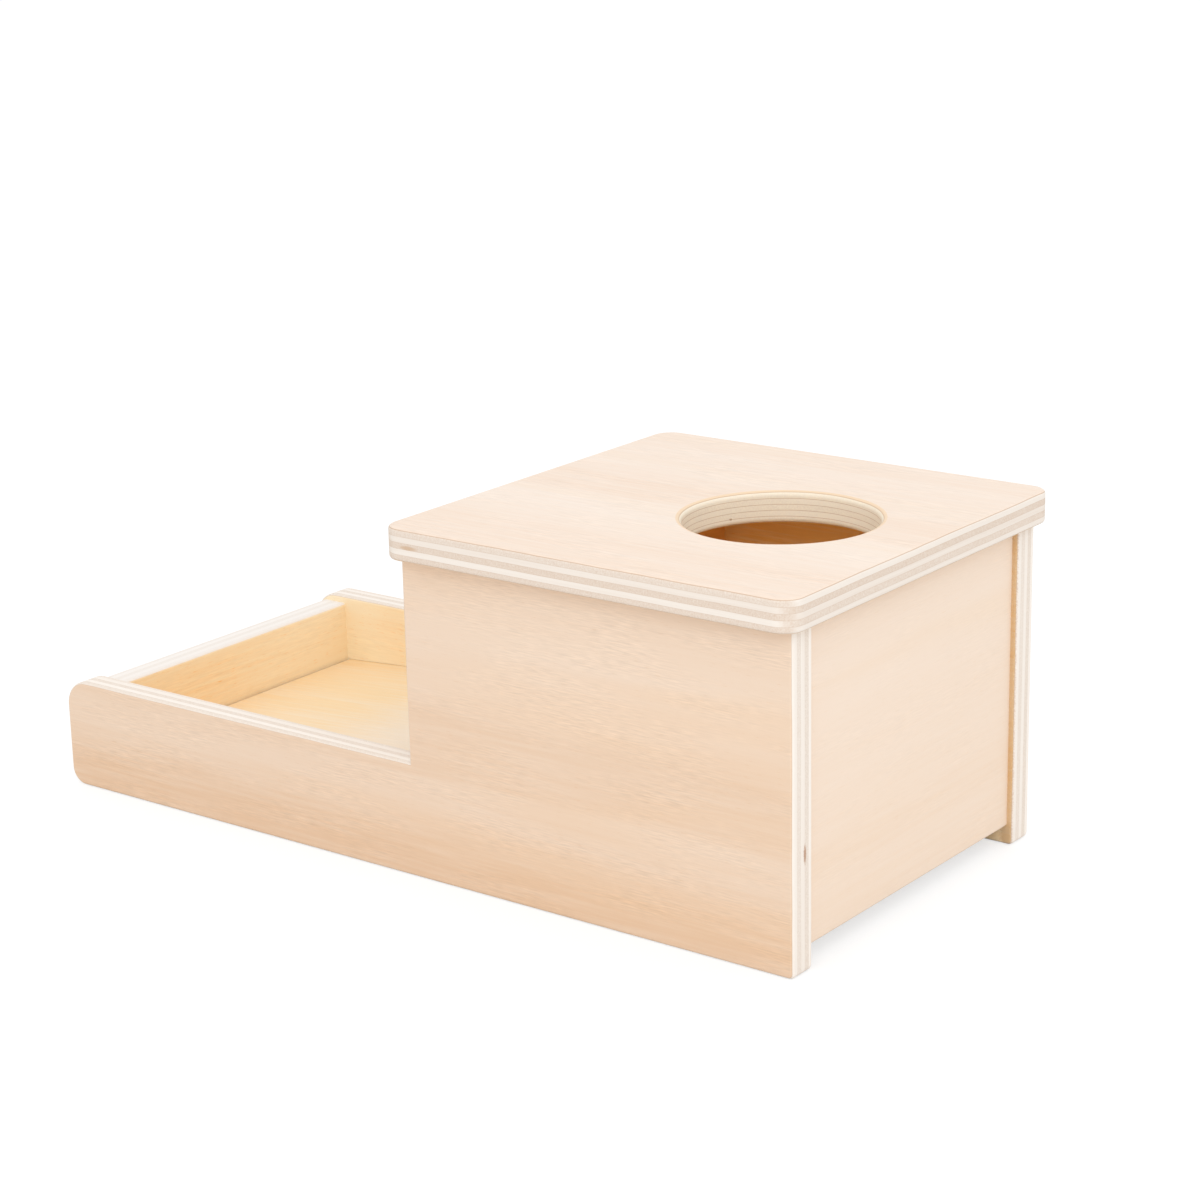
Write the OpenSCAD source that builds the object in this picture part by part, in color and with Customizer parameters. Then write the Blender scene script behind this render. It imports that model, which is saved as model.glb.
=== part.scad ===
// Object permanence box: a plywood box with a round hole in its lid and a tray in front of its mouth.
// A ball dropped through the hole rolls down the sloping floor, out under the mouth's header and into the tray.
// X runs from the tray to the box, Y from the front to the back, Z up. The origin is at the bottom centre.

/* [Box] */
// Length of the tall part of the side panels
box_length = 124.5; // [110:0.5:180]
// Width over the outer faces of the two side panels
box_width = 120; // [100:1:180]
// Height of the tall part of the side panels, from the table to the lid
box_height = 91.5; // [86:0.5:140]
// How far the end wall stands in from the ends of the side panels
end_inset = 1.8; // [0.5:0.1:6]

/* [Tray] */
// Length of the low part of the side panels
tray_length = 135; // [90:1:220]
// Height of the low part of the side panels
tray_height = 32.75; // [28:0.25:48]
// How far the tray's end board stands in from the free ends of the side panels
tray_end_inset = 3.4; // [1:0.1:10]
// How far the tray's end board stops below the tops of the low parts
tray_end_drop = 2.25; // [0.5:0.25:8]

/* [Boards] */
// Thickness of the plywood of the sides, the lid and the upright boards
board_t = 9; // [8:0.5:12]
// Thickness of the plywood of the floor
thin_t = 6; // [4:0.5:8]
// Height of the upright boards' lower edges and of the floor's lower end above the table
foot_h = 5.4; // [3:0.1:9]
// Radius of the sanded arrises
arris_r = 1; // [0.4:0.1:1.2]
// Radius of the side panels' upper corners at the tray's free end
nose_top_r = 8; // [4:0.5:12]
// Radius of the side panels' lower corners at the tray's free end
nose_low_r = 5; // [3:0.5:12]
// Radius of the side panels' lower corners at the box's end
heel_r = 1.5; // [1.3:0.1:5]

/* [Lid] */
// How far the lid reaches past the outer faces of the side panels
lid_over_side = 5; // [2:0.25:10]
// How far the lid reaches past both ends of the tall part
lid_over_end = 2.75; // [1:0.25:10]
// Radius of the lid's corners, seen from above
lid_corner_r = 6; // [3:0.5:15]
// Diameter of the hole for the ball
hole_d = 53; // [40:0.5:60]
// Distance of the hole's centre from the ends of the side panels
hole_in = 43; // [42:0.5:60]
// Radius of the round-over on both rims of the hole
rim_r = 1.5; // [0.5:0.1:3]

/* [Floor and mouth] */
// Rise of the floor from the tray's end board to the end wall
floor_rise = 17.5; // [8:0.5:24]
// How far the mouth's header stands in from the tray side of the tall part
header_inset = 19; // [16:0.5:30]
// Clear height of the mouth, from the floor to the header
mouth_h = 48; // [44:0.5:52]

/* [Joinery] */
// Depth of the grooves that hold the floor
groove_depth = 3; // [2:0.5:4]
// Clearance round the floor in its grooves
groove_clear = 0.1; // [0.05:0.05:0.2]
// Gap that is left between the floor and the tray's end board
floor_gap = 0.6; // [0.3:0.1:1]
// Diameter of the wooden dowels
dowel_d = 4; // [3:0.5:5]
// Length of the wooden dowels
dowel_len = 20; // [16:1:26]
// How deep a dowel goes into the face of a board
dowel_in_face = 6; // [4:0.5:6.5]
// Clearance of a dowel in its hole, on the diameter
dowel_clear = 0.1; // [0.05:0.05:0.2]
// Room for glue at both ends of a dowel's hole
glue_room = 0.5; // [0.2:0.1:1]
// Distance of the outer lid dowels from the tray side of the tall part and from the end wall
lid_dowel_in = 9; // [6:0.5:11]
// Dowels in each end of the end wall
end_wall_dowel_count = 3; // [2:1:4]
// Dowels in each end of the mouth's header
header_dowel_count = 1; // [1:1:2]
// Dowels in each end of the tray's end board
tray_end_dowel_count = 2; // [1:1:2]

/* [Hidden] */
$fn = 64;
PLY = "#f3dcc0";
PLY_WARM = "#f2cf9c";
DOWEL_WOOD = "#d9b98c";
// Overrun of a cutting shape past the surface that it opens
over = 1;

// Places along X, from the tray's free end to the box's end
x_free = -(tray_length + box_length + lid_over_end) / 2;
x_tray_in = x_free + tray_end_inset + board_t;
x_floor = x_tray_in + floor_gap;
x_box = x_free + tray_length;
x_header = x_box + header_inset;
x_heel = x_box + box_length;
x_end_in = x_heel - end_inset - board_t;
x_hole = x_heel - hole_in;
// Places along Y, the same on both sides
y_out = box_width / 2;
y_in = y_out - board_t;
y_groove = y_in + groove_depth;
// Slope of the floor, and its thickness measured upright
floor_slope = atan(floor_rise / (x_end_in - x_floor));
floor_upright_t = thin_t / cos(floor_slope);
// Height of the floor's underside at x
function floor_under(x) = foot_h + (x - x_floor) * tan(floor_slope);
// Places along Z
tray_end_top = tray_height - tray_end_drop;
header_low = floor_under(x_header + board_t) + floor_upright_t + mouth_h;
// Dowels
dowel_in_edge = dowel_len - dowel_in_face;
dowel_chamfer = dowel_d / 8;

// The i-th of count even places between two limits
function spread(low, high, count, i) = low + (high - low) * (i + 0.5) / count;

// Outside of a rounded arris: the board lies left of and below the origin
module arris() {
    difference() {
        translate([-arris_r, -arris_r]) square(arris_r + over);
        translate([-arris_r, -arris_r]) circle(arris_r);
    }
}

// Both arrises of a board of thickness t that ends at x = 0
module arris_pair(t) {
    translate([0, t]) arris();
    mirror([0, 1]) arris();
}

// Eases both arrises of a flat board along its outline from p to q, with the board on the left
module ease_run(p, q) {
    d = q - p;
    translate([p.x, p.y, 0])
        rotate(atan2(d.y, d.x))
            rotate([90, 0, 90])
                linear_extrude(norm(d))
                    mirror([1, 0]) arris_pair(board_t);
}

// Eases both arrises round a quarter corner of the outline
module ease_corner(centre, r, from) {
    translate([centre.x, centre.y, 0])
        rotate(from)
            rotate_extrude(angle = 90)
                translate([r, 0]) arris_pair(board_t);
}

// A glued dowel, standing on its lower end, with chamfered ends
module dowel() {
    r = dowel_d / 2;
    rotate_extrude()
        polygon([
            [0, 0], [r - dowel_chamfer, 0], [r, dowel_chamfer],
            [r, dowel_len - dowel_chamfer], [r - dowel_chamfer, dowel_len], [0, dowel_len]
        ]);
}

// The blind hole that a dowel sits in, through both boards
module dowel_hole() {
    translate([0, 0, -glue_room])
        cylinder(d = dowel_d + dowel_clear, h = dowel_len + 2 * glue_room);
}

// Sets the children into both ends of an upright board whose middle is at x, and into the side panels
module at_board_ends(x, low, high, count) {
    for (side = [-1, 1], i = [0 : count - 1])
        translate([x, side * y_in, spread(low, high, count, i)])
            rotate([-90 * side, 0, 0])
                translate([0, 0, -dowel_in_edge]) children();
}

module at_end_wall_dowels() {
    at_board_ends(x_end_in + board_t / 2, foot_h, box_height, end_wall_dowel_count) children();
}

module at_header_dowels() {
    at_board_ends(x_header + board_t / 2, header_low, box_height, header_dowel_count) children();
}

module at_tray_end_dowels() {
    at_board_ends(x_tray_in - board_t / 2, foot_h, tray_end_top, tray_end_dowel_count) children();
}

// Sets the children into the top edges of the side panels and into the lid, clear of the upright boards
module at_lid_dowels() {
    first = x_box + lid_dowel_in;
    last = x_end_in - lid_dowel_in;
    middle = (x_header + board_t + last) / 2;
    for (side = [-1, 1], x = [first, middle, last])
        translate([x, side * (y_out - board_t / 2), box_height - dowel_in_edge]) children();
}

// Outline of a side panel: a low bar with a rounded nose, and the tall part of the box
nose_top = [x_free + nose_top_r, tray_height - nose_top_r];
nose_low = [x_free + nose_low_r, nose_low_r];
heel = [x_heel - heel_r, heel_r];

module side_outline() {
    polygon([
        [nose_low.x, 0], [heel.x, 0], [x_heel, heel.y], [x_heel, box_height], [x_box, box_height],
        [x_box, tray_height], [nose_top.x, tray_height], [x_free, nose_top.y], [x_free, nose_low.y]
    ]);
    translate(nose_top) circle(nose_top_r);
    translate(nose_low) circle(nose_low_r);
    translate(heel) circle(heel_r);
}

// A side panel lying flat, with eased arrises all round apart from the edge under the lid
module side_board() {
    difference() {
        linear_extrude(board_t) side_outline();
        ease_run([nose_low.x, 0], [heel.x, 0]);
        ease_corner(heel, heel_r, -90);
        ease_run([x_heel, heel.y], [x_heel, box_height]);
        ease_run([x_box, box_height], [x_box, tray_height]);
        ease_run([x_box, tray_height], [nose_top.x, tray_height]);
        ease_corner(nose_top, nose_top_r, 90);
        ease_run([x_free, nose_top.y], [x_free, nose_low.y]);
        ease_corner(nose_low, nose_low_r, 180);
    }
}

// Floor, sloping up from the tray's end board to the end wall, grown by the clearance of its grooves
module floor_body(clear = 0) {
    first = x_floor - clear;
    slack = clear / cos(floor_slope);
    height = floor_upright_t + 2 * slack;
    low = floor_under(first) - slack;
    high = floor_under(x_end_in) - slack;
    translate([0, y_groove + clear, 0])
        rotate([90, 0, 0])
            linear_extrude(2 * (y_groove + clear))
                polygon([[first, low], [x_end_in, high], [x_end_in, high + height], [first, low + height]]);
}

// What both side panels are cut for
module side_cuts() {
    floor_body(groove_clear);
    at_lid_dowels() dowel_hole();
    at_end_wall_dowels() dowel_hole();
    at_header_dowels() dowel_hole();
    at_tray_end_dowels() dowel_hole();
}

module back_side() {
    color(PLY)
        difference() {
            translate([0, y_out, 0]) rotate([90, 0, 0]) side_board();
            side_cuts();
        }
}

module front_side() {
    color(PLY)
        difference() {
            translate([0, -y_in, 0]) rotate([90, 0, 0]) side_board();
            side_cuts();
        }
}

// Cross-section of the lid's outer band, rounded at its outer arrises
module lid_band() {
    translate([0, arris_r]) square([lid_corner_r, board_t - 2 * arris_r]);
    square([lid_corner_r - arris_r, board_t]);
    translate([lid_corner_r - arris_r, arris_r]) circle(arris_r);
    translate([lid_corner_r - arris_r, board_t - arris_r]) circle(arris_r);
}

// Lid blank: a core, a straight band along each side and a turned band at each corner
module lid_blank() {
    core_x = box_length + 2 * (lid_over_end - lid_corner_r);
    core_y = box_width + 2 * (lid_over_side - lid_corner_r);
    translate([-core_x / 2, -core_y / 2, 0]) cube([core_x, core_y, board_t]);
    for (turn = [0, 180]) rotate(turn) {
        translate([core_x / 2, core_y / 2, 0]) rotate([90, 0, 0]) linear_extrude(core_y) lid_band();
        translate([-core_x / 2, core_y / 2, 0]) rotate([90, 0, 90]) linear_extrude(core_x) lid_band();
        translate([core_x / 2, core_y / 2, 0]) rotate_extrude(angle = 90) lid_band();
        translate([-core_x / 2, core_y / 2, 0]) rotate(90) rotate_extrude(angle = 90) lid_band();
    }
}

// Half section of the hole through the lid, flared over its upper rim
module hole_flare() {
    centre = [hole_d / 2 + rim_r, board_t / 2 - rim_r];
    difference() {
        translate([hole_d / 2 - over, centre.y]) square([rim_r + over, rim_r + over]);
        translate(centre) circle(rim_r);
    }
}

module hole_cut() {
    rotate_extrude() {
        translate([0, -board_t / 2 - over]) square([hole_d / 2, board_t + 2 * over]);
        hole_flare();
        mirror([0, 1]) hole_flare();
    }
}

module lid() {
    color(PLY)
        difference() {
            translate([x_box + box_length / 2, 0, box_height]) lid_blank();
            translate([x_hole, 0, box_height + board_t / 2]) hole_cut();
            at_lid_dowels() dowel_hole();
        }
}

// An upright board between the side panels, from x on
module upright(x, low, high) {
    translate([x, -y_in, low]) cube([board_t, 2 * y_in, high - low]);
}

// Eases both arrises of an upright board along its free edge at height z, which faces up or down
module ease_free_edge(x, z, faces_down = false) {
    translate([x, -y_in, z])
        mirror([0, 0, faces_down ? 1 : 0])
            rotate([0, -90, -90])
                linear_extrude(2 * y_in) arris_pair(board_t);
}

module end_wall() {
    color(PLY)
        difference() {
            upright(x_end_in, foot_h, box_height);
            ease_free_edge(x_end_in, foot_h, faces_down = true);
            at_end_wall_dowels() dowel_hole();
        }
}

module mouth_header() {
    color(PLY_WARM)
        difference() {
            upright(x_header, header_low, box_height);
            ease_free_edge(x_header, header_low, faces_down = true);
            at_header_dowels() dowel_hole();
        }
}

module tray_end() {
    color(PLY_WARM)
        difference() {
            upright(x_tray_in - board_t, foot_h, tray_end_top);
            ease_free_edge(x_tray_in - board_t, tray_end_top);
            ease_free_edge(x_tray_in - board_t, foot_h, faces_down = true);
            at_tray_end_dowels() dowel_hole();
        }
}

module floor_panel() {
    color(PLY_WARM) floor_body();
}

module lid_dowels() {
    color(DOWEL_WOOD) at_lid_dowels() dowel();
}

module end_wall_dowels() {
    color(DOWEL_WOOD) at_end_wall_dowels() dowel();
}

module header_dowels() {
    color(DOWEL_WOOD) at_header_dowels() dowel();
}

module tray_end_dowels() {
    color(DOWEL_WOOD) at_tray_end_dowels() dowel();
}

front_side();
back_side();
lid();
end_wall();
mouth_header();
tray_end();
floor_panel();
lid_dowels();
end_wall_dowels();
header_dowels();
tray_end_dowels();
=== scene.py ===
# An object permanence box: seven plywood boards, held by grooves and hidden dowels.
# In metres, in the CAD's frame: X runs from the tray to the box, Y from the front to the back, Z up.
import math

import bmesh
import bpy
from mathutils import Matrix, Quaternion, Vector


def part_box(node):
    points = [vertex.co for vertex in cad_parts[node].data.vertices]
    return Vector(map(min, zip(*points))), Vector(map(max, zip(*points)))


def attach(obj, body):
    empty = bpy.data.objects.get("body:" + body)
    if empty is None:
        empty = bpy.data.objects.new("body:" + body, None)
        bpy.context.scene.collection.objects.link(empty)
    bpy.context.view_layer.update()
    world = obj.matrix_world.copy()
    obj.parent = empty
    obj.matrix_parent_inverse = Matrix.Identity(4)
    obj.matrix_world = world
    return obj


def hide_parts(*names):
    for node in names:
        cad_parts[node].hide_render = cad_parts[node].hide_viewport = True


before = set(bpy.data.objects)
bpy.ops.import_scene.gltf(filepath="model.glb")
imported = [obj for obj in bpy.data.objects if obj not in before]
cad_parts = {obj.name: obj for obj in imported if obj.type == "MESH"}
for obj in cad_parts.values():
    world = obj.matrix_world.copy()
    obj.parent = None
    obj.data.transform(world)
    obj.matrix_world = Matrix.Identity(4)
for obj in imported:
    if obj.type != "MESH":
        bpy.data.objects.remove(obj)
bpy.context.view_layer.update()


# Side panels
# Two L-shaped boards of 9 mm plywood, each a low bar beside the tray and a tall part beside the box.
# They are sawn to outline, their free corners rounded and their arrises sanded. Inside they are grooved
# for the floor and drilled for dowels, and every other board is glued between them or on top.
mm = 0.001
panel_low, panel_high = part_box("front_side")
bar_height = 32.75 * mm
bar_length = 135 * mm
tray_top = panel_low.z + bar_height
box_start = panel_low.x + bar_length
nose_top_radius = 8 * mm
nose_low_radius = 5 * mm
heel_radius = 1.5 * mm
arris_radius = 1 * mm
corner_steps = 10
arris_steps = 4
groove_room = 0.1 * mm
same_place = 0.001 * mm
flat_angle = math.radians(1)
smooth_angle = math.radians(35)


def block(name, low, high):
    """A square-cut blank between two corners, with its place in its mesh."""
    bpy.ops.object.select_all(action="DESELECT")
    middle = (Vector(low) + Vector(high)) / 2
    size = Vector(high) - Vector(low)
    bpy.ops.mesh.primitive_cube_add(size=1, calc_uvs=False, location=middle, scale=size)
    blank = bpy.context.object
    blank.name = blank.data.name = name
    bpy.ops.object.transform_apply(location=True, rotation=True, scale=True)
    return blank


def at(part, **place):
    """True where every corner of an edge or a face lies at the named coordinates."""
    return all(abs(getattr(corner.co, axis) - value) < same_place
               for corner in part.verts for axis, value in place.items())


def pick(board, kind, test):
    """Opens a board for editing, with only the edges or the faces selected that pass the test."""
    bpy.context.view_layer.objects.active = board
    bpy.ops.object.mode_set(mode="EDIT")
    bpy.ops.mesh.select_mode(type=kind)
    bpy.ops.mesh.select_all(action="DESELECT")
    shape = bmesh.from_edit_mesh(board.data)
    for part in shape.edges if kind == "EDGE" else shape.faces:
        part.select_set(test(part))
    shape.select_flush_mode()
    bmesh.update_edit_mesh(board.data)


def close(board):
    """Leaves edit mode and hands the board back."""
    bpy.ops.object.mode_set(mode="OBJECT")
    return board


def round_over(board, radius, segments, test):
    """Rounds the edges that pass the test, as a router or sandpaper does."""
    pick(board, "EDGE", test)
    bpy.ops.mesh.bevel(offset=radius, segments=segments, profile=0.5, affect="EDGES")
    return close(board)


def cut_away(board, cutter):
    """Takes the cutter's shape out of a board, and throws the cutter away."""
    bpy.context.view_layer.objects.active = board
    bpy.ops.object.modifier_add(type="BOOLEAN")
    cut = board.modifiers[-1]
    cut.operation = "DIFFERENCE"
    cut.solver = "EXACT"
    cut.object = cutter
    bpy.ops.object.modifier_apply(modifier=cut.name)
    bpy.data.objects.remove(cutter)


floor_thickness = 6 * mm
floor_low, floor_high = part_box("floor_panel")
floor_reach = floor_high - floor_low
floor_slope = (math.atan2(floor_reach.z, floor_reach.x)
               - math.asin(floor_thickness / math.hypot(floor_reach.x, floor_reach.z)))


def sloping_strip(name, room):
    """The floor as a strip that climbs towards the box. Room makes it larger, for its grooves."""
    slack = room / math.cos(floor_slope)
    start_height = floor_low.z - room * math.tan(floor_slope) - slack
    start = Vector((floor_low.x - room, floor_low.y - room, start_height))
    height = floor_thickness / math.cos(floor_slope) + 2 * slack
    strip = block(name, start, (floor_high.x, floor_high.y + room, start.z + height))
    pick(strip, "FACE", lambda face: at(face, x=floor_high.x))
    bpy.ops.transform.translate(value=(0, 0, (floor_high.x - start.x) * math.tan(floor_slope)))
    return close(strip)


dowel_radius = 2 * mm
dowel_length = 20 * mm
dowel_sides = 32
dowel_room = 0.05 * mm
glue_room = 0.5 * mm


def cross_dowels(group, board, count):
    """Middles of the dowels in both ends of an upright board: count in each, spread over its height."""
    low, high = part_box(board)
    group_low, group_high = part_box(group)
    x = (group_low.x + group_high.x) / 2
    y = group_high.y - dowel_length / 2
    heights = [low.z + (high.z - low.z) * (i + 0.5) / count for i in range(count)]
    return [Vector((x, side * y, z)) for side in (-1, 1) for z in heights]


def lid_dowels():
    """Middles of the upright dowels between the side panels and the lid, three in each panel."""
    low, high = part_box("lid_dowels")
    first = low.x + dowel_radius
    last = high.x - dowel_radius
    halfway = (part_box("mouth_header")[1].x + last) / 2
    y = high.y - dowel_radius
    z = (low.z + high.z) / 2
    return [Vector((x, side * y, z)) for side in (-1, 1) for x in (first, halfway, last)]


upright = (0, 0, 0)
crosswise = (math.pi / 2, 0, 0)
dowel_rows = {
    "lid_dowels": (lid_dowels(), upright),
    "end_wall_dowels": (cross_dowels("end_wall_dowels", "end_wall", 3), crosswise),
    "header_dowels": (cross_dowels("header_dowels", "mouth_header", 1), crosswise),
    "tray_end_dowels": (cross_dowels("tray_end_dowels", "tray_end", 2), crosswise),
}


def drill(board, *groups):
    """Drills the blind holes of these groups of dowels into a board, with a little room for glue."""
    low, high = (Vector(corner) for corner in (board.bound_box[0], board.bound_box[6]))
    for group in groups:
        middles, turn = dowel_rows[group]
        for middle in middles:
            reach = Vector((dowel_radius,) * 3)
            reach["xyz".index("z" if turn == upright else "y")] = dowel_length / 2
            if all(low[i] - reach[i] < middle[i] < high[i] + reach[i] for i in range(3)):
                bpy.ops.object.select_all(action="DESELECT")
                bpy.ops.mesh.primitive_cylinder_add(
                    vertices=dowel_sides, radius=dowel_radius + dowel_room,
                    depth=dowel_length + 2 * glue_room, location=middle, rotation=turn)
                cut_away(board, bpy.context.object)


def sand(board):
    """Smooths the shading round the rounded edges, and keeps the flat faces flat."""
    bpy.ops.object.select_all(action="DESELECT")
    board.select_set(True)
    bpy.context.view_layer.objects.active = board
    bpy.ops.object.shade_smooth_by_angle(angle=smooth_angle)
    bpy.ops.object.modifier_add(type="WEIGHTED_NORMAL")
    board.modifiers[-1].keep_sharp = True
    bpy.ops.object.modifier_apply(modifier=board.modifiers[-1].name)
    return board


def colour(code):
    """A colour written as #rrggbb, as the linear values that a shader takes."""
    parts = [int(code[i:i + 2], 16) / 255 for i in (1, 3, 5)]
    return [c / 12.92 if c <= 0.04045 else ((c + 0.055) / 1.055) ** 2.4 for c in parts] + [1.0]


def add(tree, kind, sockets=None, **options):
    """Adds a shader node. Each socket gets a value, or a link where it is given another node's output."""
    made = tree.nodes.new("ShaderNode" + kind)
    for option, value in options.items():
        setattr(made, option, value)
    for socket, value in (sockets or {}).items():
        if isinstance(value, bpy.types.NodeSocket):
            tree.links.new(value, made.inputs[socket])
        else:
            made.inputs[socket].default_value = value
    return made


def reckon(tree, operation, *values):
    """One step of arithmetic on numbers and other nodes' outputs."""
    return add(tree, "Math", dict(enumerate(values)), operation=operation).outputs[0]


def rise(tree, value, start, end):
    """0 before start, 1 past end, and a smooth rise between them. Start may be the higher one."""
    return add(tree, "MapRange", {0: value, 1: start, 2: end}, interpolation_type="SMOOTHSTEP").outputs[0]


def tint(tree, share, first, second):
    """A colour that goes from the first to the second with the share."""
    return add(tree, "Mix", {0: share, 6: first, 7: second}, data_type="RGBA").outputs[2]


def between(tree, share, first, second):
    """A number that goes from the first to the second with the share."""
    return add(tree, "Mix", {0: share, 2: first, 3: second}).outputs[0]


def fibres(tree, place, stretch, detail=3.0, wander=0.0):
    """Noise drawn out along the grain. Stretch is its fineness per millimetre along X, Y and Z."""
    drawn = add(tree, "VectorMath", {0: place, 1: stretch}, operation="MULTIPLY").outputs[0]
    noise = {"Vector": drawn, "Scale": 1.0, "Detail": detail, "Distortion": wander}
    return add(tree, "TexNoise", noise).outputs[0]


def plywood(name, low, thickness, cores, across, grain, low_veneer, high_veneer, edge, tilt=0.0,
            marks=(), routed=None):
    """Plywood in layers by the depth into the board: thin faces, and cores that turn a quarter each time.
    A layer that meets the surface end-on shows darker end grain, and elsewhere it shows pale long grain."""
    finish = bpy.data.materials.new(name)
    finish.use_nodes = True
    tree = finish.node_tree
    where = add(tree, "TexCoord")
    place = add(tree, "Mapping", {
        "Vector": where.outputs["Object"], "Rotation": (0, tilt, 0), "Scale": (1 / mm,) * 3}).outputs[0]
    facing = add(tree, "Mapping", {
        "Vector": where.outputs["Normal"], "Rotation": (0, tilt, 0)}, vector_type="VECTOR").outputs[0]
    axes = "XYZ"
    cross = next(axis for axis in axes if axis not in (across, grain))
    place_on = add(tree, "SeparateXYZ", {0: place}).outputs
    facing_on = add(tree, "SeparateXYZ", {0: facing}).outputs

    def stretch(along, sideways, direction=grain):
        return [along if axis == direction else sideways for axis in axes]

    # Which layer a point lies in
    veneer = edge["veneer"]
    core = (thickness - 2 * veneer) / cores
    unevenness = reckon(tree, "MULTIPLY_ADD", fibres(tree, place, (0.05,) * 3, 2.0), veneer, -veneer / 2)
    depth = reckon(tree, "SUBTRACT", place_on[across], low)
    wavy = reckon(tree, "ADD", depth, unevenness)
    layer = reckon(tree, "DIVIDE", reckon(tree, "SUBTRACT", wavy, veneer), core)
    above = reckon(tree, "GREATER_THAN", layer, float(cores))
    face = reckon(tree, "MAXIMUM", reckon(tree, "LESS_THAN", layer, 0.0), above)
    count = reckon(tree, "FLOOR", layer)
    odd = reckon(tree, "PINGPONG", count, 1.0)
    inside = reckon(tree, "SUBTRACT", 1.0, face)
    turned = reckon(tree, "MULTIPLY", reckon(tree, "SUBTRACT", 1.0, odd), inside)

    # How far the layer's fibres point out of the surface
    out_along = reckon(tree, "ABSOLUTE", facing_on[grain])
    out_cross = reckon(tree, "ABSOLUTE", facing_on[cross])
    end_on = rise(tree, between(tree, turned, out_along, out_cross), 0.25, 0.8)

    # Face veneer: broad bands, streaks, short flecks and pores, all along the grain, and steps of tone by
    # place
    band = fibres(tree, place, stretch(0.002, 0.06), 3.0, 0.3)
    glow = rise(tree, fibres(tree, place, stretch(0.004, 0.05), 3.0, 0.4), 0.5, 0.75)
    streak = fibres(tree, place, stretch(0.03, 0.8), 3.0)
    fleck = fibres(tree, place, stretch(0.2, 2.6), 4.0)
    pore = rise(tree, fibres(tree, place, stretch(0.3, 3.2), 1.0), 0.64, 0.76)
    plain_tone = reckon(tree, "MULTIPLY_ADD", band, 0.7, -0.15)
    plain_tone = reckon(tree, "MULTIPLY_ADD", pore, 0.35, plain_tone)
    drift = reckon(tree, "MULTIPLY_ADD", band, 16.0, -8.0)
    # Steps of tone by place: in the tray and inside the box some of them are painted shade and painted warm
    # bounce light, set in each veneer's deeper list.
    tones = []
    for side in (low_veneer, high_veneer):
        tone = plain_tone
        for axis, begin, end, amount in side["deeper"]:
            drifting = reckon(tree, "ADD", place_on[axis], drift)
            tone = reckon(tree, "MULTIPLY_ADD", rise(tree, drifting, begin, end), amount, tone)
        tones.append(tone)
    face_tone = between(tree, above, *tones)
    face_tone = reckon(tree, "MULTIPLY", face_tone, reckon(tree, "MULTIPLY_ADD", streak, 1.4, 0.3))
    pale, deep, warm = (tint(tree, above, colour(low_veneer[shade]), colour(high_veneer[shade]))
                        for shade in ("pale", "deep", "warm"))
    face_colour = tint(tree, face_tone, pale, deep)
    face_colour = tint(tree, reckon(tree, "MULTIPLY", glow, 0.3), face_colour, warm)
    patch = rise(tree, fibres(tree, place, stretch(0.03, 0.12), 2.0), 0.3, 0.7)
    fleck_depth = between(tree, above, 2 * low_veneer["fleck"], 2 * high_veneer["fleck"])
    fleck_depth = reckon(tree, "MULTIPLY", fleck_depth, patch)
    fleck_shade = reckon(tree, "MULTIPLY_ADD", reckon(tree, "SUBTRACT", fleck, 0.5), fleck_depth, 1.0)
    shaded = add(tree, "VectorMath", {0: face_colour, "Scale": fleck_shade}, operation="SCALE")
    face_colour = shaded.outputs[0]

    # Cores: pale along the fibres, darker and speckled across them, each ply a little different
    core_streak = between(tree, turned, fibres(tree, place, stretch(0.02, 1.6), 3.0),
                          fibres(tree, place, stretch(0.02, 1.6, cross), 3.0))
    speckle = fibres(tree, place, (2.4,) * 3, 3.0)
    ply_tone = add(tree, "TexWhiteNoise", {"W": count}, noise_dimensions="1D").outputs[0]
    core_tone = reckon(tree, "MULTIPLY_ADD", ply_tone, 0.2, reckon(tree, "MULTIPLY", end_on, 0.55))
    core_tone = reckon(tree, "MULTIPLY_ADD", reckon(tree, "SUBTRACT", core_streak, 0.5), 0.5, core_tone)
    speckle_here = reckon(tree, "MULTIPLY", reckon(tree, "SUBTRACT", speckle, 0.5), end_on)
    core_tone = reckon(tree, "MULTIPLY_ADD", speckle_here, 1.1, core_tone)
    core_colour = tint(tree, core_tone, colour(edge["pale"]), colour(edge["deep"]))

    # Glue lines between the layers, brownest under the face veneer
    nearest = reckon(tree, "ROUND", layer)
    off_layer = reckon(tree, "ABSOLUTE", reckon(tree, "SUBTRACT", layer, nearest))
    off_line = reckon(tree, "MULTIPLY", off_layer, core)
    middle = cores / 2
    off_middle = reckon(tree, "ABSOLUTE", reckon(tree, "SUBTRACT", nearest, middle))
    outer = reckon(tree, "GREATER_THAN", off_middle, middle - 0.5)
    glue_share = reckon(tree, "MULTIPLY_ADD", outer, 1.75 * edge["glue"], edge["glue"])
    whole_face = face
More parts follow.
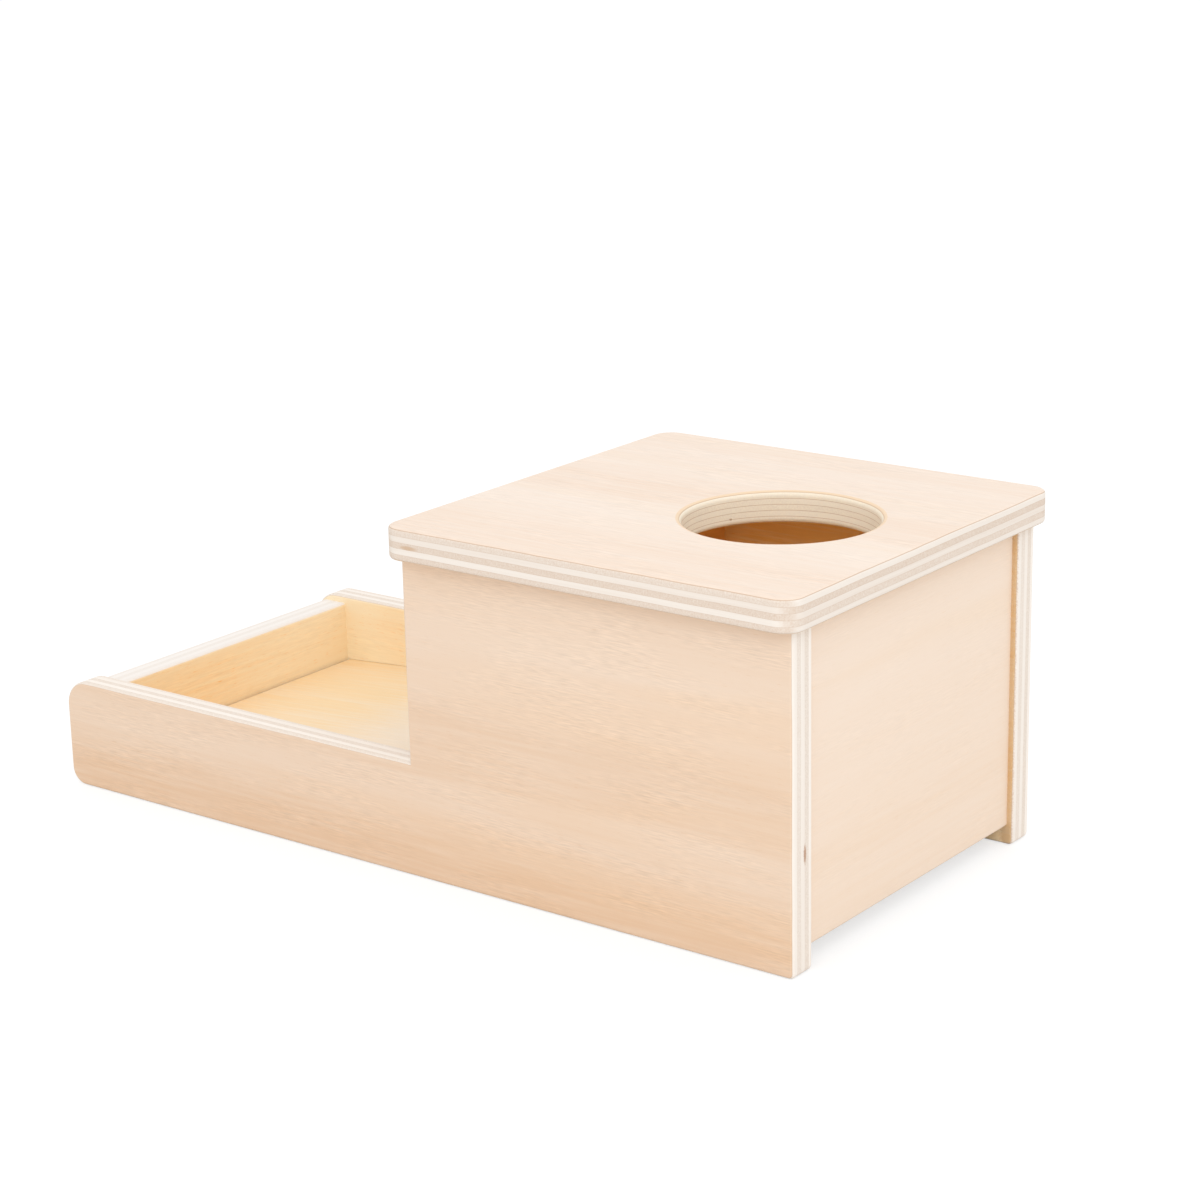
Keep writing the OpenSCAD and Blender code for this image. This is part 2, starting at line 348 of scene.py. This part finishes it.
    # In the hole the cores are painted pale, a painted light on the shaded hole wall; the glue lines there
    # show more, and the veneer cut through at the rim gets its own colour.
    if routed:
        middle_line, radius = routed
        flat_place = add(tree, "VectorMath", {0: place, 1: (1, 1, 0)}, operation="MULTIPLY").outputs[0]
        off_hole = add(tree, "VectorMath", {0: flat_place, 1: middle_line}, operation="DISTANCE")
        in_hole = reckon(tree, "LESS_THAN", off_hole.outputs["Value"], radius)
        painted_light_in_hole = reckon(tree, "MULTIPLY", in_hole, reckon(tree, "MULTIPLY_ADD", speckle, 1.2, 0.2))
        core_colour = tint(tree, painted_light_in_hole, core_colour, colour("#fff5e0"))
        glue_share = between(tree, in_hole, glue_share, 0.5)
        cut_face = reckon(tree, "MULTIPLY", face, in_hole)
        core_colour = tint(tree, cut_face, core_colour, colour("#f1d7b8"))
        whole_face = reckon(tree, "SUBTRACT", face, cut_face)
    glue = reckon(tree, "MULTIPLY", rise(tree, off_line, 0.4 * veneer, 0.1 * veneer), glue_share)
    wood = tint(tree, whole_face, core_colour, face_colour)
    wood = tint(tree, glue, wood, colour("#b88c60"))

    # Small brown marks: spots of pitch, and a darker strip along the joint beside the end wall
    for centre, reach, shade, share in marks:
        off = add(tree, "VectorMath", {0: place, 1: centre}, operation="SUBTRACT").outputs[0]
        off = add(tree, "VectorMath", {0: off, 1: reach}, operation="DIVIDE").outputs[0]
        off = add(tree, "VectorMath", {0: off}, operation="LENGTH").outputs["Value"]
        off = reckon(tree, "MULTIPLY_ADD", reckon(tree, "SUBTRACT", speckle, 0.5), 0.9, off)
        wood = tint(tree, reckon(tree, "MULTIPLY", rise(tree, off, 1.0, 0.4), share), wood, colour(shade))

    # Surface: a sanded face is smoother than the open ends of the fibres
    grain_height = reckon(tree, "MULTIPLY", reckon(tree, "ADD", streak, fleck), 0.5)
    face_height = reckon(tree, "MULTIPLY_ADD", pore, -0.6, grain_height)
    core_height = reckon(tree, "MULTIPLY_ADD", reckon(tree, "MULTIPLY", speckle, end_on), 0.9, core_streak)
    core_height = reckon(tree, "MULTIPLY_ADD", glue, -1.2, core_height)
    height = between(tree, face, core_height, face_height)
    bump = add(tree, "Bump", {"Strength": 0.2, "Distance": 0.12 * mm, "Height": height}).outputs[0]
    core_roughness = reckon(tree, "MULTIPLY_ADD", end_on, 0.15, 0.66)
    face_roughness = reckon(tree, "MULTIPLY_ADD", streak, 0.3, 0.4)
    shader = tree.nodes["Principled BSDF"]
    tree.links.new(wood, shader.inputs["Base Color"])
    tree.links.new(between(tree, face, core_roughness, face_roughness), shader.inputs["Roughness"])
    tree.links.new(bump, shader.inputs["Normal"])
    shader.inputs["Specular IOR Level"].default_value = 0.3
    return finish


panel_cores = 5
outer_veneer = {
    "pale": "#f0dac5", "deep": "#e5c3a3", "warm": "#edc9a4", "fleck": 0.24,
    "deeper": (("Z", 58, 48, 0.3), ("Z", 32, 28, -0.2), ("Z", 24, 8, 0.5))}
# The inner veneer is painted warm and grows deeper towards and inside the box: painted warm bounce light in
# the tray and painted shade inside the box.
inner_veneer_painted_light_and_shade = {
    "pale": "#fdf0d3", "deep": "#f6c176", "warm": "#f9dca6", "fleck": 0.14,
    "deeper": (("X", -95, -110, -0.15), ("X", -5, 50, 0.8), ("X", 112, 117, -0.6))}
sanded_edge = {"pale": "#fbf3ea", "deep": "#e5d7c9", "glue": 0.12, "veneer": 0.2}


def side_panel(name, node, low_veneer, high_veneer, marks=()):
    """One side panel, sawn from a low bar with the tall part drawn up from it."""
    low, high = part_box(node)
    panel = block(name, low, (high.x, high.y, tray_top))
    pick(panel, "FACE", lambda face: True)
    bpy.ops.mesh.bisect(plane_co=(box_start, 0, 0), plane_no=(1, 0, 0))
    pick(panel, "FACE", lambda face: at(face, z=tray_top) and face.calc_center_median().x > box_start)
    bpy.ops.mesh.extrude_region_move(TRANSFORM_OT_translate={"value": (0, 0, high.z - tray_top)})
    pick(panel, "FACE", lambda face: True)
    bpy.ops.mesh.dissolve_limited(angle_limit=flat_angle)
    close(panel)
    round_over(panel, nose_top_radius, corner_steps, lambda edge: at(edge, x=low.x, z=tray_top))
    round_over(panel, nose_low_radius, corner_steps, lambda edge: at(edge, x=low.x, z=low.z))
    round_over(panel, heel_radius, arris_steps, lambda edge: at(edge, x=high.x, z=low.z))
    round_over(panel, arris_radius, arris_steps, lambda edge: (
        (at(edge, y=low.y) or at(edge, y=high.y)) and not at(edge, z=high.z)))
    cut_away(panel, sloping_strip("floor_groove", groove_room))
    drill(panel, *dowel_rows)
    sand(panel)
    panel.data.materials.append(plywood(
        name + "_plywood", low.y / mm, (high.y - low.y) / mm, panel_cores, "Y", "X",
        low_veneer, high_veneer, sanded_edge, marks=marks))
    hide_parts(node)
    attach(panel, "root")


heel_mark = ((panel_high.x / mm, -54.6, 32.2), (1.0, 0.75, 3.4), "#b07c54", 0.75)
side_panel("front_panel", "front_side", outer_veneer, inner_veneer_painted_light_and_shade, marks=(heel_mark,))
back_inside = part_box("back_side")[0].y / mm
joint_mark = ((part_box("end_wall")[1].x / mm, back_inside, 50), (2.6, 1.2, 300), "#b88a58", 0.55)
side_panel("back_panel", "back_side", inner_veneer_painted_light_and_shade, outer_veneer, marks=(joint_mark,))


# Floor
# One strip of 6 mm plywood under the tray and the box. It slopes down from the end wall to the tray's end
# board, so a ball rolls out into the tray. Its long edges sit in the grooves of the side panels.
floor_cores = 3
sawn_edge_radius = 0.3 * mm
sawn_edge_steps = 2
tray_floor = sloping_strip("tray_floor", 0)
round_over(tray_floor, sawn_edge_radius, sawn_edge_steps, lambda edge: True)
sand(tray_floor)
# The floor's top is painted warm towards the tray's end and deeper inside the box: painted bounce light in
# the tray's corner and painted shade under the lid.
floor_veneer_painted_light_and_shade = {
    "pale": "#f9ecdb", "deep": "#faddb0", "warm": "#fae0b8", "fleck": 0.08,
    "deeper": (("X", -34, -80, 0.7), ("X", -15, 50, 0.8))}
under_veneer = {"pale": "#f4e2cb", "deep": "#ebcca6", "warm": "#f0d2ac", "fleck": 0.2, "deeper": ()}
floor_underside = floor_low.z * math.cos(floor_slope) - floor_low.x * math.sin(floor_slope)
tray_floor.data.materials.append(plywood(
    "tray_floor_plywood", floor_underside / mm, floor_thickness / mm, floor_cores, "Z", "X",
    under_veneer, floor_veneer_painted_light_and_shade, sanded_edge, tilt=floor_slope))
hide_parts("floor_panel")
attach(tray_floor, "root")


# Upright boards
# Three boards of 9 mm plywood between the side panels, glued and dowelled through their ends: a low one
# that closes the tray, one that closes the box, and a header over the mouth. Their free edges are sanded.
def upright_board(name, node, group, free_heights, low_veneer, high_veneer, edge):
    """An upright board, sanded along its free edges and drilled in its ends."""
    low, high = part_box(node)
    board = block(name, low, high)
    for height in free_heights:
        round_over(board, arris_radius, arris_steps, lambda edge: (
            at(edge, x=low.x, z=height) or at(edge, x=high.x, z=height)))
    drill(board, group)
    sand(board)
    board.data.materials.append(plywood(
        name + "_plywood", low.x / mm, (high.x - low.x) / mm, panel_cores, "X", "Y",
        low_veneer, high_veneer, edge))
    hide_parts(node)
    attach(board, "root")


tray_end_low, tray_end_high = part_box("tray_end")
white_edge = {"pale": "#f7f1eb", "deep": "#f0e8e0", "glue": 0.05, "veneer": 0.15}
# The tray end's inner face takes the inner veneer's painted warm light, deeper, and is painted paler
# towards the back: a painted light against the shade of the back corner.
tray_veneer_painted_light_and_shade = {**inner_veneer_painted_light_and_shade, "deeper": (("X", -112, -119, 0.2), ("Y", -25, 40, -0.25))}
upright_board(
    "tray_end_board", "tray_end", "tray_end_dowels", (tray_end_low.z, tray_end_high.z),
    outer_veneer, tray_veneer_painted_light_and_shade, white_edge)
end_wall_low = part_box("end_wall")[0]
end_veneer = {
    "pale": "#f6e3d1", "deep": "#f2d8be", "warm": "#f4dbc0", "fleck": 0.07,
    "deeper": (("Z", 50, 25, 0.25),)}
upright_board(
    "end_wall_board", "end_wall", "end_wall_dowels", (end_wall_low.z,),
    inner_veneer_painted_light_and_shade, end_veneer, sanded_edge)
header_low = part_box("mouth_header")[0]
# The header's face towards the box is painted deep orange: painted shade inside the box, seen through the
# hole.
header_veneer_painted_shade = {"pale": "#f6bc74", "deep": "#efa850", "warm": "#f2ac5a", "fleck": 0.14, "deeper": ()}
upright_board(
    "header_board", "mouth_header", "header_dowels", (header_low.z,),
    inner_veneer_painted_light_and_shade, header_veneer_painted_shade, sanded_edge)


# Lid
# A square of 9 mm plywood that overhangs the box on all sides, glued and dowelled on to the side panels.
# Its corners are rounded and its arrises sanded. The hole for the ball is routed, with both rims rounded.
lid_low, lid_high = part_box("lid")
lid_corner_radius = 6 * mm
hole_radius = 26.5 * mm
hole_sides = 160
hole_to_panel_end = 43 * mm
hole_middle = Vector((panel_high.x - hole_to_panel_end, 0, (lid_low.z + lid_high.z) / 2))
rim_radius = 1.5 * mm
rim_steps = 6
lid_board = block("lid_board", lid_low, lid_high)
round_over(lid_board, lid_corner_radius, corner_steps, lambda edge: (
    abs(edge.verts[0].co.z - edge.verts[1].co.z) > mm))
round_over(lid_board, arris_radius, arris_steps, lambda edge: (
    at(edge, z=lid_low.z) or at(edge, z=lid_high.z)))
pick(lid_board, "FACE", lambda face: at(face, z=lid_low.z) or at(face, z=lid_high.z))
bpy.ops.mesh.delete(type="ONLY_FACE")
bpy.ops.mesh.select_all(action="DESELECT")
wall_height = lid_high.z - lid_low.z - 2 * rim_radius
bpy.ops.mesh.primitive_cylinder_add(
    vertices=hole_sides, radius=hole_radius, depth=wall_height, end_fill_type="NOTHING",
    location=hole_middle)
close(lid_board)
for face_height, up in ((lid_low.z, -1), (lid_high.z, 1)):
    ring_height = hole_middle.z + up * wall_height / 2
    ring_radius = hole_radius
    pick(lid_board, "EDGE", lambda edge: at(edge, z=ring_height))
    for step in range(1, rim_steps + 1):
        angle = math.pi / 2 * step / rim_steps
        next_radius = hole_radius + rim_radius * (1 - math.cos(angle))
        next_height = hole_middle.z + up * (wall_height / 2 + rim_radius * math.sin(angle))
        grow = next_radius / ring_radius
        bpy.ops.mesh.extrude_edges_move(TRANSFORM_OT_translate={"value": (0, 0, next_height - ring_height)})
        bpy.ops.transform.resize(value=(grow, grow, 1), center_override=(hole_middle.x, 0, next_height))
        ring_radius = next_radius
        ring_height = next_height
    pick(lid_board, "EDGE", lambda edge: edge.is_boundary and at(edge, z=face_height))
    bpy.ops.mesh.fill(use_beauty=True)
    close(lid_board)
pick(lid_board, "FACE", lambda face: True)
bpy.ops.mesh.normals_make_consistent(inside=False)
close(lid_board)
drill(lid_board, "lid_dowels")
sand(lid_board)
lid_veneer = {
    "pale": "#f5e7da", "deep": "#f0d8c3", "warm": "#f2dcc4", "fleck": 0.2,
    "deeper": (("Y", -22, -45, 0.35), ("Y", -12, 0, 0.4), ("Y", 10, 24, -0.25))}
banded_edge = {"pale": "#f4ebe1", "deep": "#ddc8b5", "glue": 0.2, "veneer": 0.35}
edge_mark = ((11, lid_low.y / mm, 95.7), (3.6, 0.6, 0.75), "#c89c6c", 0.5)
hole_mark = ((61.4, 11.3, 93.6), (0.6, 0.6, 0.4), "#a87848", 0.6)
lid_board.data.materials.append(plywood(
    "lid_plywood", lid_low.z / mm, (lid_high.z - lid_low.z) / mm, panel_cores, "Z", "X",
    under_veneer, lid_veneer, banded_edge, marks=(edge_mark, hole_mark),
    routed=((hole_middle.x / mm, 0, 0), (hole_radius + rim_radius) / mm)))
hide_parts("lid")
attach(lid_board, "root")


# Dowels
# Turned hardwood pins of 4 by 20 mm, glued in blind holes: three hold the lid on each panel, and the
# upright boards have one to three in each end. Their ends are chamfered, and their sides fluted for glue.
dowel_chamfer = 0.5 * mm
flute_depth = 0.15 * mm


def dowel_finish():
    """Plain hardwood, with its growth lines and pores along the pin."""
    finish = bpy.data.materials.new("dowel_wood")
    finish.use_nodes = True
    tree = finish.node_tree
    place = add(tree, "Mapping", {
        "Vector": add(tree, "TexCoord").outputs["Object"], "Scale": (1 / mm,) * 3}).outputs[0]
    rings = fibres(tree, place, (0.9, 0.25, 0.9), 3.0, 0.6)
    pores = fibres(tree, place, (5.0, 1.2, 5.0), 2.0)
    wood = tint(tree, rings, colour("#e6caa0"), colour("#c09a68"))
    wood = tint(tree, rise(tree, pores, 0.55, 0.75), wood, colour("#a47c4e"))
    bump = add(tree, "Bump", {"Strength": 0.3, "Distance": 0.1 * mm, "Height": pores}).outputs[0]
    shader = tree.nodes["Principled BSDF"]
    tree.links.new(wood, shader.inputs["Base Color"])
    tree.links.new(reckon(tree, "MULTIPLY_ADD", pores, 0.2, 0.5), shader.inputs["Roughness"])
    tree.links.new(bump, shader.inputs["Normal"])
    shader.inputs["Specular IOR Level"].default_value = 0.3
    return finish


def dowel_pin(name, middle, turn):
    """One fluted pin, with its middle and direction as given."""
    bpy.ops.object.select_all(action="DESELECT")
    bpy.ops.mesh.primitive_cylinder_add(
        vertices=dowel_sides, radius=dowel_radius, depth=dowel_length, calc_uvs=False)
    pin = bpy.context.object
    pin.name = pin.data.name = name
    round_over(pin, dowel_chamfer, 1, lambda edge: (
        at(edge, z=-dowel_length / 2) or at(edge, z=dowel_length / 2)))

    def flute(face):
        turn_share = math.atan2(face.normal.y, face.normal.x) / math.tau * dowel_sides
        return abs(face.normal.z) < 0.1 and math.floor(turn_share) % 2 == 0

    pick(pin, "FACE", flute)
    bpy.ops.mesh.inset(thickness=flute_depth / 2, depth=-flute_depth, use_individual=True)
    close(pin)
    pin.location = middle
    pin.rotation_euler = turn
    bpy.ops.object.transform_apply(location=True, rotation=True, scale=True)
    return pin


dowel_wood = dowel_finish()
for group, (middles, turn) in dowel_rows.items():
    pins = [dowel_pin(group + "_pins", middle, turn) for middle in middles]
    bpy.ops.object.select_all(action="DESELECT")
    for pin in pins:
        pin.select_set(True)
    bpy.context.view_layer.objects.active = pins[0]
    bpy.ops.object.join()
    sand(pins[0])
    pins[0].data.materials.append(dowel_wood)
    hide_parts(group)
    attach(pins[0], "root")


# Studio
# A plain white floor, an even pale sky and one large soft lamp in front of the box, as for a product photo.
# What looks at the floor or the sky sees them white, and the floor keeps a soft shadow.
def seen_share(tree):
    """1 for what the camera sees, directly, in a mirror or through glass, and 0 for scattered light."""
    path = add(tree, "LightPath").outputs
    direct = reckon(tree, "MAXIMUM", path["Is Camera Ray"], path["Is Glossy Ray"])
    return reckon(tree, "MAXIMUM", direct, path["Is Transmission Ray"])


studio_width = 12
studio_drop = 0.1 * mm
floor_glow = 0.65
bpy.ops.object.select_all(action="DESELECT")
bpy.ops.mesh.primitive_plane_add(size=studio_width, location=(0, 0, -studio_drop))
studio_floor = bpy.context.object
studio_floor.name = "studio_floor"
floor_paint = bpy.data.materials.new("floor_paint")
floor_paint.use_nodes = True
paint_tree = floor_paint.node_tree
floor_seen = seen_share(paint_tree)
paint = paint_tree.nodes["Principled BSDF"].inputs
scattering = (0.82, 0.82, 0.82, 1)
shadow_catching = (0.4, 0.4, 0.4, 1)
paint_tree.links.new(tint(paint_tree, floor_seen, scattering, shadow_catching), paint["Base Color"])
paint_tree.links.new(reckon(paint_tree, "MULTIPLY", floor_seen, floor_glow), paint["Emission Strength"])
paint["Emission Color"].default_value = (1, 1, 1, 1)
paint["Roughness"].default_value = 1.0
paint["Specular IOR Level"].default_value = 0.0
studio_floor.data.materials.append(floor_paint)

sky = bpy.data.worlds.new("sky")
bpy.context.scene.world = sky
sky.use_nodes = True
sky_light = 0.94
sky_white = 1.0
sky_tree = sky.node_tree
background = sky_tree.nodes["Background"].inputs
background["Color"].default_value = (1, 1, 1, 1)
sky_tree.links.new(between(sky_tree, seen_share(sky_tree), sky_light, sky_white), background["Strength"])

lamp_aim = Vector((0.03, 0, 0.05))
lamp_place = Vector((0.85, -0.95, 1.15))
bpy.ops.object.light_add(type="AREA", location=lamp_place)
soft_lamp = bpy.context.object
soft_lamp.name = "soft_lamp"
soft_lamp.data.shape = "DISK"
soft_lamp.data.size = 1.2
soft_lamp.data.energy = 6.5
soft_lamp.rotation_euler = (lamp_aim - lamp_place).to_track_quat("-Z", "Y").to_euler()

camera_aim = Vector((24.57, 0, 67.54)) * mm
camera_distance = 808 * mm
camera_azimuth = math.radians(37.31)
camera_elevation = math.radians(16.56)
camera_roll = math.radians(-1.237)
away = Vector((math.sin(camera_azimuth) * math.cos(camera_elevation),
               -math.cos(camera_azimuth) * math.cos(camera_elevation), math.sin(camera_elevation)))
bpy.ops.object.camera_add(location=camera_aim + away * camera_distance)
camera = bpy.context.object
camera.data.sensor_width = 36
camera.data.lens = 86.59
level_view = (-away).to_track_quat("-Z", "Y")
camera.rotation_euler = (level_view @ Quaternion((0, 0, 1), camera_roll)).to_euler()
bpy.context.scene.camera = camera
bpy.context.scene.view_settings.view_transform = "Standard"
